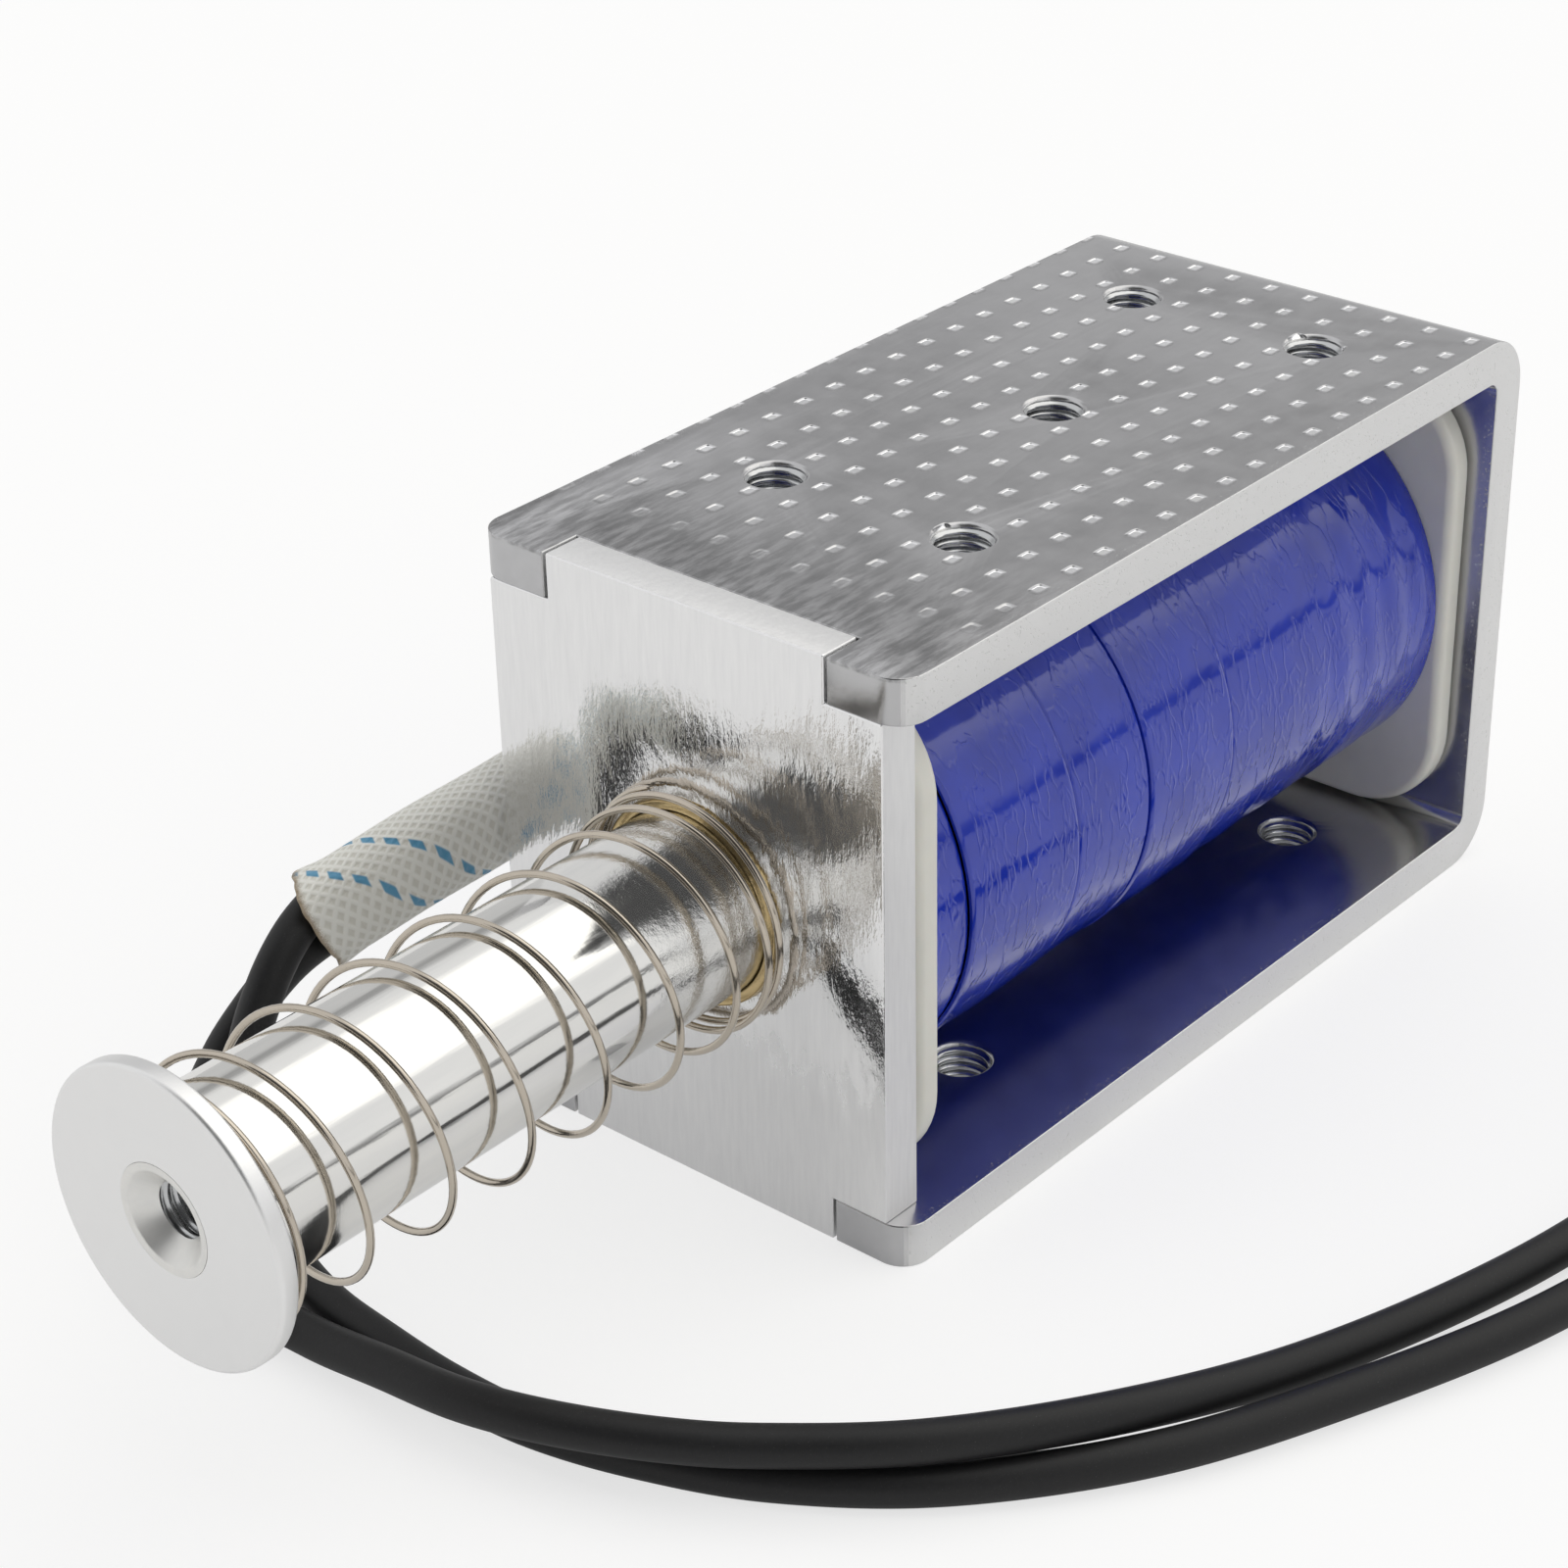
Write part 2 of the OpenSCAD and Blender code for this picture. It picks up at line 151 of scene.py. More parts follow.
def dress(name, mesh, finish, body, nodes, sharp, even):
    """Cleans a mesh, gives it its finish and makes it ride on a body in place of its CAD nodes."""
    work = bmesh.new()
    work.from_mesh(mesh)
    bmesh.ops.remove_doubles(work, verts=work.verts, dist=1e-7)
    bmesh.ops.dissolve_degenerate(work, edges=work.edges, dist=1e-8)
    bmesh.ops.recalc_face_normals(work, faces=work.faces)
    work.to_mesh(mesh)
    work.free()
    mesh.polygons.foreach_set("use_smooth", np.ones(len(mesh.polygons), bool))
    mesh.set_sharp_from_angle(angle=math.radians(sharp))
    mesh.materials.clear()
    mesh.materials.append(finish)
    thing = bpy.data.objects.new(name, mesh)
    bpy.context.scene.collection.objects.link(thing)
    if even:
        modifier = thing.modifiers.new("even shading", "WEIGHTED_NORMAL")
        modifier.keep_sharp = True
    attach(thing, body)
    if nodes:
        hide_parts(*nodes)
    return thing


def arc(centre, radius, start, stop, steps):
    """Points on an arc in a plane, from start to stop degrees."""
    a = np.radians(np.linspace(start, stop, steps))
    return np.stack([centre[0] + radius * np.cos(a), centre[1] + radius * np.sin(a)], -1)


def filleted(points, radii, steps=5):
    """A polyline whose inner corners are rounded: each corner becomes an arc that touches both of its
    sides."""
    points = np.asarray(points, float)
    out = [points[0]]
    for before, corner, after, radius in zip(points[:-2], points[1:-1], points[2:], radii):
        a, b = before - corner, after - corner
        a, b = a / np.linalg.norm(a), b / np.linalg.norm(b)
        half = math.acos(np.clip(a @ b, -1, 1)) / 2
        if radius <= 0 or abs(half - math.pi / 2) < 1e-3:
            out.append(corner)
            continue
        reach = radius / math.tan(half)
        t = np.linspace(0, 1, steps)[:, None]
        start, end = corner + a * reach, corner + b * reach
        centre = corner + (a + b) / np.linalg.norm(a + b) * radius / math.sin(half)
        ray = (1 - t) * (start - centre) + t * (end - centre)
        out.extend(centre + ray / np.linalg.norm(ray, axis=1)[:, None] * radius)
    out.append(points[-1])
    return np.array(out)


def turned(profile, sides=128):
    """Turns (x, radius) points about the plunger's axis: y and z are the radius times the cosine and sine."""
    profile = np.asarray(profile, float)
    a = np.linspace(0, TURN, sides, endpoint=False)
    x, r = profile[:, :1], profile[:, 1:]
    points = np.stack([x + 0 * a, r * np.cos(a), axis_z + r * np.sin(a)], -1)
    return points, grid_faces(len(profile), sides, wrap_cols=True)


def frames_along(path):
    """Unit tangent, level side and third direction at each point of a path."""
    t = np.gradient(path, axis=0)
    t /= np.linalg.norm(t, axis=1)[:, None]
    side = np.cross(t, [0, 0, 1])
    side /= np.linalg.norm(side, axis=1)[:, None]
    return t, side, np.cross(side, t)


def tube(path, radius, sides=16):
    """A round tube: each path point plus the radius round it. Each end point stands four times, with radii
    that fall to nothing in a flat dome."""
    path = np.asarray(path, float)
    copies = np.ones(len(path), int)
    copies[[0, -1]] = 4
    t, side, up = (part.repeat(copies, 0) for part in frames_along(path))
    path = path.repeat(copies, 0)
    dome = np.array([0, 0.5, 0.85, 1.0])
    rounding = 0.2 * radius * dome[:, None] ** 2
    path[:4] += t[:4] * rounding
    path[-4:] -= t[-4:] * rounding[::-1]
    size = radius * np.concatenate([dome, np.ones(len(path) - 8), dome[::-1]])
    a = np.linspace(0, TURN, sides, endpoint=False)[:, None]
    ring = np.cos(a) * side[:, None] + np.sin(a) * up[:, None]
    points = path[:, None] + size[:, None, None] * ring
    return points, grid_faces(len(path), sides, wrap_cols=True)


def smooth_route(route, steps):
    """A curve through every point of a route, each stretch a cubic whose slopes come from the points around
    it."""
    route = np.asarray(route, float)
    padded = np.concatenate([route[:1], route, route[-1:]])
    a, b, c, d = (padded[k:len(padded) - 3 + k][:, None] for k in range(4))
    t = np.linspace(0, 1, steps, endpoint=False)[None, :, None]
    curve = b + 0.5 * t * (c - a + t * (2 * a - 5 * b + 4 * c - d + t * (3 * b - a - 3 * c + d)))
    return np.concatenate([curve.reshape(-1, 3), route[-1:]])


def along_path(path, spacing):
    """The same path with its points evenly spaced."""
    step = np.linalg.norm(np.diff(path, axis=0), axis=1)
    reach = np.concatenate([[0], np.cumsum(step)])
    at = np.linspace(0, reach[-1], int(reach[-1] / spacing) + 1)
    return np.stack([np.interp(at, reach, path[:, k]) for k in range(3)], -1)


def ease(t):
    """Rises from 0 to 1 as t does, level at both ends."""
    t = np.clip(t, 0, 1)
    return t * t * (3 - 2 * t)


def ripple(x, a, seed, count=24, size=(1, 6)):
    """Smooth random waves over two parameters: a sum of sines whose directions and phases come from the
    seed."""
    random = np.random.default_rng(seed)
    total = 0 * x + 0 * a
    for _ in range(count):
        fx = random.uniform(*size) * random.choice([-1, 1])
        fa = int(random.integers(0, 5))
        total = total + np.sin(fx * x + fa * a + random.uniform(0, TURN))
    return total / math.sqrt(count)


# ---------------------------------------------------------------- shader expressions

class Value:
    """A socket of a material. Python's operators add Math nodes, so an expression reads as arithmetic."""

    def __init__(self, nodes, socket):
        self.nodes = nodes
        self.socket = socket

    def math(self, operation, *others):
        return self.nodes.add("ShaderNodeMath", {"operation": operation}, dict(enumerate((self, *others))))

    def __add__(self, other):
        return self.math("ADD", other)

    def __sub__(self, other):
        return self.math("SUBTRACT", other)

    def __rsub__(self, other):
        return (self * -1).math("ADD", other)

    def __mul__(self, other):
        return self.math("MULTIPLY", other)

    def __truediv__(self, other):
        return self.math("DIVIDE", other)

    def __pow__(self, other):
        return self.math("POWER", other)

    __radd__ = __add__
    __rmul__ = __mul__

    def cos(self):
        return self.math("COSINE")

    def wrapped(self, period):
        """The value folded into one period, from minus half of it to plus half."""
        return (self / period + 0.5).math("FRACT").math("SUBTRACT", 0.5) * period

    def low(self, other):
        return self.math("MINIMUM", other)

    def high(self, other):
        return self.math("MAXIMUM", other)

    def size(self):
        return self.math("ABSOLUTE")

    def root(self):
        return self.high(0).math("SQRT")

    def between(self, start, stop):
        """0 below start, 1 above stop and smooth between them; the other way round if start is the larger."""
        flip = start > stop
        return self.nodes.add("ShaderNodeMapRange", {"interpolation_type": "SMOOTHSTEP"}, {
            "Value": self, "From Min": min(start, stop), "From Max": max(start, stop),
            "To Min": float(flip), "To Max": float(not flip)})


class Nodes:
    """The nodes of one material or of the surroundings."""

    def __init__(self, tree):
        self.tree = tree
        tree.nodes.clear()

    def plug(self, place, item):
        """Puts a number, colour or link into an input."""
        if isinstance(item, Value):
            self.tree.links.new(item.socket, place)
        elif isinstance(item, tuple) and len(place.default_value) == len(item) + 1:
            place.default_value = (*item, 1.0)
        else:
            place.default_value = item

    def add(self, kind, settings=None, sockets=None, out=0):
        """Adds a node: its settings first, then the values or links of its sockets. It gives the output
        asked for, or several where out names several."""
        node = self.tree.nodes.new(kind)
        for key, item in (settings or {}).items():
            setattr(node, key, item)
        for key, item in (sockets or {}).items():
            self.plug(node.inputs[key], item)
        if isinstance(out, tuple):
            return [Value(self, node.outputs[key]) for key in out]
        return Value(self, node.outputs[out]) if len(node.outputs) else None

    def parts(self, vector):
        """The x, y and z of a vector."""
        return self.add("ShaderNodeSeparateXYZ", sockets={0: vector}, out=(0, 1, 2))

    def mix(self, share, first, second):
        """A colour between two others."""
        return self.add("ShaderNodeMix", {"data_type": "RGBA"}, {0: share, 6: first, 7: second}, out=2)


class Finish(Nodes):
    """A procedural material with one Principled shader."""

    def __init__(self, name, **constants):
        self.material = bpy.data.materials.new(name)
        self.material.use_nodes = True
        super().__init__(self.material.node_tree)
        lit = self.add("ShaderNodeBsdfPrincipled")
        self.shader = lit.socket.node
        self.add("ShaderNodeOutputMaterial", sockets={0: lit})
        self.set(**constants)

    def set(self, **sockets):
        """Sets shader sockets; base_color stands for Base Color, and so on."""
        for key, item in sockets.items():
            name = key.replace("_", " ")
            self.plug(next(s for s in self.shader.inputs if s.name.lower() == name), item)

    def place(self):
        """Object coordinates in millimetres."""
        raw = self.add("ShaderNodeTexCoord", out="Object")
        return self.add("ShaderNodeVectorMath", {"operation": "SCALE"}, {0: raw, "Scale": 1 / MM})

    def uv(self):
        """The piece's own map, as u and v."""
        return self.parts(self.add("ShaderNodeUVMap", {"uv_map": "UVMap"}))[:2]

    def vector(self, x, y, z):
        return self.add("ShaderNodeCombineXYZ", sockets={0: x, 1: y, 2: z})

    def noise(self, vector, scale, detail=2.0, rough=0.5):
        return self.add("ShaderNodeTexNoise", sockets={"Vector": vector, "Scale": scale, "Detail": detail,
                                                       "Roughness": rough})

    def bump(self, height):
        """Tilts the surface by a height in millimetres, and gives the finished material."""
        tilt = self.add("ShaderNodeBump", sockets={"Strength": 1.0, "Distance": MM, "Height": height})
        self.set(normal=tilt)
        return self.material


# ---------------------------------------------------------------- finishes

YARNS, STITCH = 20, 1.25


def grain(f, vector_parts, stretch, scale):
    """Fine noise drawn out along one way, as rolling or grinding leaves it."""
    x, y, z = (part * s for part, s in zip(vector_parts, stretch))
    return f.noise(f.vector(x, y, z), scale, 3.0, 0.6)


def frame_finish():
    """Plated strip: bright on its rolled faces with rows of dimples outside, matte and speckled where
    sheared. The dimples are painted lighter, a painted highlight, and the top is painted darker in streaks
    towards the front, a painted dark reflection."""
    f = Finish("frame_plate", metallic=1.0)
    vector = f.place()
    x, y, z = f.parts(vector)
    sheared = f.parts(f.add("ShaderNodeNewGeometry", out="True Normal"))[1].size().between(0.6, 0.8)
    top = z.between(frame_high[2] - 0.4, frame_high[2] - 0.2)
    base = z.between(0.4, 0.2)
    back = x.between(x_rear - 0.4, x_rear - 0.2)
    rolled = grain(f, (x, y, z), (0.12, 1.0, 1.0), 1.6)
    fine = f.noise(vector, 9.0, 2.0)
    soft = f.noise(vector, 0.35, 3.0)
    dimple_pitch, half_length, half_width = 4.0, 0.74, 0.54
    u = (x - 0.62).wrapped(dimple_pitch)
    v = (y - 0.87).wrapped(dimple_pitch)
    w = (z - 0.87).wrapped(dimple_pitch)

    def bowl(along):
        """1 within a dimple's rounded square, 0 outside it."""
        return ((along / half_length) ** 4 + (v / half_width) ** 4).root().root().between(1.2, 0.55)

    start = x.between(x_front + 6, x_front + 20)
    dimples = bowl(u) * top.high(base) * start + bowl(w) * back
    speck = f.noise(vector, 5.5, 1.0).between(0.66, 0.8)
    burr = y.size().between(frame_high[1] - 1.1, frame_high[1] - 0.2) * speck
    # Painted dark reflection: the top's colour darkens in streaks towards the front.
    streaks = f.noise(f.vector(x * 0.2, y, z), 1.3, 4.0, 0.6).between(0.35, 0.65)
    painted_dark_reflection = streaks * x.between(x_front + 24, x_front + 2)
    height = rolled * 0.008 + fine * 0.0025 - dimples * 0.34 - sheared * speck * 0.05 - burr * 0.06
    # Grey of the plate: soft and rolled tone, the dimples painted lighter as a painted highlight, and the top
    # darkened by the painted dark reflection streaks.
    shade = (0.45 + soft * 0.12 + rolled * 0.05 + dimples * 0.45) * (1 - top * painted_dark_reflection * 0.45)
    plate = f.mix(sheared, f.add("ShaderNodeCombineColor", sockets={0: shade, 1: shade, 2: shade * 1.02}),
                  (0.84, 0.84, 0.84))
    f.set(base_color=plate, roughness=0.16 + sheared * 0.34 + fine * 0.06 + soft * 0.08)
    return f.bump(height)


def plate_finish():
    """Bright plated front plate with an upright grain that grows matt towards its foot; its sheared sides
    are matt."""
    f = Finish("front_plate_steel", metallic=1.0)
    vector = f.place()
    x, y, z = f.parts(vector)
    drawn = grain(f, (x, y, z), (1.0, 1.0, 0.10), 2.6)
    ragged = f.noise(f.vector(x, y, z * 0.35), 0.8, 4.0, 0.65)
    fine = f.noise(vector, 8.0, 2.0)
    inside = x.between(x_front + 0.25, x_front + 0.05)
    dull = (z + (ragged - 0.5) * 14).between(19, 11)
    f.set(base_color=f.mix(drawn, (0.80, 0.80, 0.81), (0.92, 0.92, 0.92)),
          roughness=0.50 - inside * (0.43 - dull * 0.34) + fine * 0.03)
    return f.bump(drawn * 0.006 + ragged * 0.07 + fine * 0.002)


def plain_finish(name, colour, roughness, metallic, bump_scale, bump_height, spread=0.06, **more):
    """A finish with a little colour drift, worn gloss and a fine surface."""
    f = Finish(name, metallic=metallic, **more)
    vector = f.place()
    fine = f.noise(vector, bump_scale, 3.0)
    soft = f.noise(vector, bump_scale / 12, 2.0)
    darker = tuple(c * (1 - 2 * spread) for c in colour)
    f.set(base_color=f.mix(soft, darker, colour),
          roughness=roughness + (soft - 0.5) * 0.12 + (fine - 0.5) * 0.08)
    return f.bump(fine * bump_height)


def plunger_finish():
    """Ground and plated bar: close to a mirror, with faint turning lines round it and soft streaks along
    it."""
    f = Finish("plunger_steel", metallic=1.0)
    vector = f.place()
    x, y, z = f.parts(vector)
    rings = grain(f, (x, y, z), (1.0, 0.12, 0.12), 5.0)
    streaks = grain(f, (x, y, z), (0.06, 0.6, 0.6), 1.1)
    head = x.between(plunger_low[0] + 2.2, plunger_low[0] + 1.6)
    f.set(base_color=f.mix(streaks, (0.74, 0.74, 0.73), (0.90, 0.89, 0.86)),
          roughness=0.05 + streaks * 0.08 + head * 0.36)
    pitted = f.noise(vector, 1.5, 4.0, 0.7) * x.between(x_front - 16, x_front - 4)
    return f.bump(rings * 0.0012 + streaks * 0.02 + pitted * 0.06)


def tape_finish():
    """Glossy deep blue film with fine creases."""
    f = Finish("blue_tape", metallic=0.0, specular_ior_level=0.6, coat_weight=0.3, coat_roughness=0.04)
    vector = f.place()
    x, y, z = f.parts(vector)
    soft = f.noise(vector, 0.18, 3.0)
    crease = (f.noise(f.vector(x, y * 0.4, z * 0.4), 0.55, 2.0) - 0.5).size().between(0.045, 0.0)
    f.set(base_color=f.mix(soft, (0.006, 0.020, 0.32), (0.014, 0.048, 0.60)), roughness=0.07 + soft * 0.05)
    return f.bump(crease * 0.03 + soft * 0.12)


def sleeve_finish():
    """Woven glass fibre: two sets of flat yarns pass over and under, white, with two blue threads that show
    as rows of dashes winding round, and a brownish frayed mouth. The map's v is the distance from the mouth
    in millimetres."""
    f = Finish("woven_sleeve", metallic=0.0, roughness=0.5, sheen_weight=0.25)
    vector = f.place()
    u, v = f.uv()
    stitch = v / STITCH
    warp = ((u + stitch).wrapped(1.0) * TURN).cos()
    weft = ((u - stitch).wrapped(1.0) * TURN).cos()
    weave = warp.high(weft)
    fibre = f.noise(f.vector(u * 4, v * 4, 0.0), 3.0, 3.0)
    tint = f.noise(vector, 0.3, 2.0)
    # Darker where the weave sinks between the yarns: painted shade in its hollows.
    base = f.mix(weave.between(-0.3, 0.7), (0.80, 0.79, 0.72), (0.97, 0.97, 0.92))
    base = f.mix(tint * 0.15, base, (0.84, 0.82, 0.72))
    thread_pitch, first_thread, second_thread, dash_pitch = 25.5, 0.518, 0.30, 1.8
    wind = u / YARNS + v / thread_pitch
    away = (wind - first_thread).wrapped(1.0).size().low((wind - second_thread).wrapped(1.0).size())
    row = away.between(0.024, 0.014)
    dash = v.wrapped(dash_pitch).size().between(0.60, 0.42)
    base = f.mix(row * dash * 0.9, base, (0.02, 0.30, 0.55))
    frayed = (v + (fibre - 0.5) * 0.9).between(0.75, 0.1)
    base = f.mix(frayed * 0.85, base, (0.30, 0.21, 0.11))
    f.set(base_color=base)
    return f.bump(weave * 0.05 + fibre * 0.02)


def lead_finish():
    """Matte silicone rubber, almost black, with faint dust and drawing lines."""
    f = Finish("lead_rubber", metallic=0.0, specular_ior_level=0.35)
    vector = f.place()
    dust = f.noise(vector, 3.5, 4.0, 0.6)
    fleck = f.noise(vector, 14.0, 1.0).between(0.72, 0.8)
    rubber = f.mix(dust, (0.008, 0.008, 0.009), (0.020, 0.020, 0.021))
    f.set(base_color=f.mix(fleck, rubber, (0.09, 0.09, 0.09)), roughness=0.44 + dust * 0.12)
    return f.bump(dust * 0.01)


frame_plate = frame_finish()
front_steel = plate_finish()
plunger_steel = plunger_finish()
blue_tape = tape_finish()
sleeve_weave = sleeve_finish()
lead_rubber = lead_finish()
ivory = plain_finish("bobbin_plastic", (0.88, 0.87, 0.80), 0.34, 0.0, 3.0, 0.012, subsurface_weight=0.06,
                     subsurface_scale=0.002)
brass = plain_finish("brass_tube", (0.72, 0.56, 0.30), 0.20, 1.0, 4.0, 0.006)
copper = plain_finish("copper_wire", (0.55, 0.20, 0.08), 0.30, 1.0, 4.0, 0.01)
core_steel = plain_finish("core_steel", (0.56, 0.56, 0.57), 0.28, 1.0, 5.0, 0.006)
disc_steel = plain_finish("disc_steel", (0.90, 0.90, 0.90), 0.40, 1.0, 4.0, 0.006, 0.02)
rod_steel = plain_finish("rod_steel", (0.66, 0.66, 0.67), 0.16, 1.0, 6.0, 0.003)
clip_steel = plain_finish("clip_steel", (0.16, 0.16, 0.17), 0.32, 1.0, 6.0, 0.004)
spring_wire = plain_finish("spring_wire", (0.60, 0.54, 0.46), 0.14, 1.0, 3.0, 0.004)
thread_steel = plain_finish("thread_steel", (0.60, 0.61, 0.62), 0.20, 1.0, 6.0, 0.004)
solder = plain_finish("solder", (0.60, 0.60, 0.62), 0.30, 1.0, 6.0, 0.01)
tinned = plain_finish("tinned_wire", (0.66, 0.66, 0.68), 0.28, 1.0, 8.0, 0.006)


# ---------------------------------------------------------------- leads

LEAD_R = 1.6
ROUTE_A = [
    (-9.25, 22.9, 23.65), (-18, 22.9, 23.65), (-30, 23.22, 22.9), (-42, 23.55, 22.15), (-50, 23.77, 21.63),
    (-56, 23.93, 21.22), (-61, 24.1, 20.8), (-64.6, 24.65, 19.6), (-68, 25.3, 17.1), (-71.6, 25.6, 13.9),
    (-75.6, 24.1, 10.9), (-79.8, 20.4, 6.3), (-81.3, 14.4, 3), (-81, 6.7, 2.3), (-80.9, -1.1, 3.2),
    (-80.8, -9, 4.2), (-79.2, -16.4, 4.9), (-75.8, -23.9, 5.1), (-71.6, -29.9, 5), (-64.4, -38, 5),
    (-53.4, -45.1, 4), (-39, -50.8, 2), (-24, -55.9, 1.66), (-8.8, -59.2, 1.62), (8.4, -60.2, 1.62),
    (25.4, -60.4, 1.62)]
ROUTE_B = [
    (-9.25, 22.9, 26.95), (-18, 22.9, 26.95), (-30, 23.22, 26.2), (-42, 23.55, 25.45), (-50, 23.77, 24.93),
    (-56, 23.93, 24.55), (-60.6, 23.95, 24.25), (-64.85, 23.45, 22.95), (-68.5, 22.95, 19.95),
    (-71.5, 22.35, 15.7), (-73.8, 20.7, 10.5), (-75.3, 17.9, 6.3), (-76.3, 14, 3.4), (-77.1, 9, 2),
    (-77.6, 2.6, 1.68), (-78, -4.9, 1.62), (-77.5, -12.5, 1.62), (-75.2, -20.8, 1.62), (-71, -30, 1.62),
    (-63.6, -39.6, 1.62), (-52, -48.8, 1.62), (-38, -55.7, 1.62), (-21.8, -61.7, 1.62), (-4, -65.2, 1.62),
    (12, -66.2, 1.62), (27, -66.4, 1.62)]


def make_tip(letter, far):
    """Bare strands twisted together: five thin tubes on a slow helix along X, round a straight sixth."""
    length, strand, spread, twisted, twist_pitch = 6.0, 0.36, 0.44, 5, 9
    x = np.linspace(0, length, 40)
    points, faces = [], []
    count = 0
    for k in range(twisted + 1):
        a = TURN * (k / twisted + x / twist_pitch)
        lay = spread * (1 - 0.25 * ease((x - 4.5) / 1.5)) * (k < twisted)
        path = np.stack([far[0] + x, far[1] + lay * np.cos(a), far[2] + lay * np.sin(a)], -1)
        p, q = tube(path, strand, 8)
        points.append(p.reshape(-1, 3))
        faces.append(q + count)
        count += len(points[-1])
    return make_piece(f"lead_tip_{letter}_strands", np.concatenate(points), np.concatenate(faces), tinned,
                      "housing", ["lead_tip_" + letter])


def make_lead(letter, route):
    """A round rubber lead swept along its route."""
    path = along_path(smooth_route(route, 16), 0.7)
    points, faces = tube(path, LEAD_R, 24)
    lead = make_piece("lead_" + letter + "_wire", points, faces, lead_rubber, "housing", ["lead_" + letter],
                      even=False)
    length = np.linalg.norm(np.diff(path, axis=0), axis=1).sum()
    return lead, path, length


SLEEVE_REAR = np.array([-18.25, 22.9, axis_z])
SLEEVE_MOUTH = np.array([-62.25, 24.1, 22.5])
SLEEVE_STEP, SLEEVE_IN, SLEEVE_WALL = 3.6, 1.9, 0.7
MOUTH_SLOPE, MOUTH_LEAN, MOUTH_BACK = 0.8, 0.42, 0.6


def make_sleeve():
    """An oval tube. Its outline is a circle drawn apart upright, soft where the weave sags between the
    leads, and the mouth is cut at a slant, so each line along it is stretched to the slanted plane; the
    wall is turned in there."""
    length = np.linalg.norm(SLEEVE_MOUTH - SLEEVE_REAR)
    ahead = (SLEEVE_MOUTH - SLEEVE_REAR) / length
    side = np.cross(ahead, [0, 0, 1])
    side /= np.linalg.norm(side)
    up = np.cross(side, ahead)
    sides, rows = 128, 220
    s = np.linspace(0, 1, sides, endpoint=False)[None]
    t = np.linspace(0, 1, rows)[:, None]
    a = TURN * s
    slack = 0.10 * np.sin(2 * a + 5 * t) * np.sin(math.pi * t) + 0.06 * np.sin(3 * a + 17 * t + 1)
    flare = 0.22 * ease((t - 0.93) / 0.07)

    def shell(radius):
        across = -(radius + slack + flare) * np.cos(a)
        tall = (radius + slack + flare) * np.sin(a) + 0.5 * SLEEVE_STEP * np.tanh(2.2 * np.sin(a))
        reach = length + (tall * MOUTH_LEAN - across * MOUTH_SLOPE - MOUTH_BACK) * ease((t - 0.3) / 0.7)
        fray = 0.16 * ripple(9 * a / TURN, TURN * s, 5, 40, (3, 9)) * ease((t - 0.985) / 0.015)
        far = (reach + fray) * t
        return SLEEVE_REAR + ahead * far[..., None] + side * across[..., None] + up * tall[..., None]

    outer = shell(SLEEVE_IN + SLEEVE_WALL - 0.08)
    inner = shell(SLEEVE_IN + 0.05)
    grid = np.concatenate([outer, inner[::-1]])
    u = np.broadcast_to(s * YARNS, (2 * rows, sides)) + 0 * np.concatenate([t, t])
    v = (1 - np.concatenate([t, t[::-1]])) * length + 0 * s
    return make_piece("woven_sleeve", grid, grid_faces(2 * rows, sides, True, True), sleeve_weave, "housing",
                      ["lead_sleeve"], np.stack([u, v], -1), even=False, period=YARNS)


sleeve = make_sleeve()
for letter, route in (("a", ROUTE_A), ("b", ROUTE_B)):
    tip = make_tip(letter, route[-1])
    lead, path, length = make_lead(letter, route)
    [tip] + ([sleeve] if letter == "a" else [])


# ---------------------------------------------------------------- frame and front plate

def bevelled_copy(node, name, finish, width, change=None):
    """A copy of a CAD node, its loose triangles merged into flat faces and its edges rounded. The points
    may be changed on the way."""
    merge_distance, flat_angle, edge_angle = 2e-6, 1, 40
    source = next(o for o in bpy.data.objects if o.type == "MESH" and o.name.split(".")[0] == node)
    mesh = source.data.copy()
    mesh.transform(source.matrix_world)
    work = bmesh.new()
    work.from_mesh(mesh)
    bmesh.ops.remove_doubles(work, verts=work.verts, dist=merge_distance)
    bmesh.ops.dissolve_limit(work, angle_limit=math.radians(flat_angle), verts=work.verts, edges=work.edges)
    work.to_mesh(mesh)
    work.free()
    if change is not None:
        place = np.empty(len(mesh.vertices) * 3)
        mesh.vertices.foreach_get("co", place)
        mesh.vertices.foreach_set("co", (change(place.reshape(-1, 3) / MM) * MM).ravel())
    thing = dress(name, mesh, finish, "housing", [node], 180, False)
    bevel = thing.modifiers.new("edges", "BEVEL")
    bevel.width = width * MM
    bevel.segments = 3
    bevel.limit_method = "ANGLE"
    bevel.angle_limit = math.radians(edge_angle)
    bevel.use_clamp_overlap = True
    bevel.harden_normals = True
    return thing


def hole_centres():
    """X and Y of the five tapped holes of the base and of the top."""
    return [(0, 0)] + [(sx * pitch_x / 2, sy * pitch_y / 2) for sx in (-1, 1) for sy in (-1, 1)]


THREAD_PITCH = 0.8
THREAD_ROOT = tap_radius + 0.38


def open_thread_holes(points):
    """Widens the tapped holes from the tap's radius to the thread's root, for the threads to fill."""
    points = points.copy()
    for cx, cy in hole_centres():
        away = points[:, :2] - (cx, cy)
        r = np.linalg.norm(away, axis=1)
        wall = np.abs(r - tap_radius) < 0.05
        points[wall, :2] = np.array([cx, cy]) + away[wall] / r[wall, None] * THREAD_ROOT
    return points


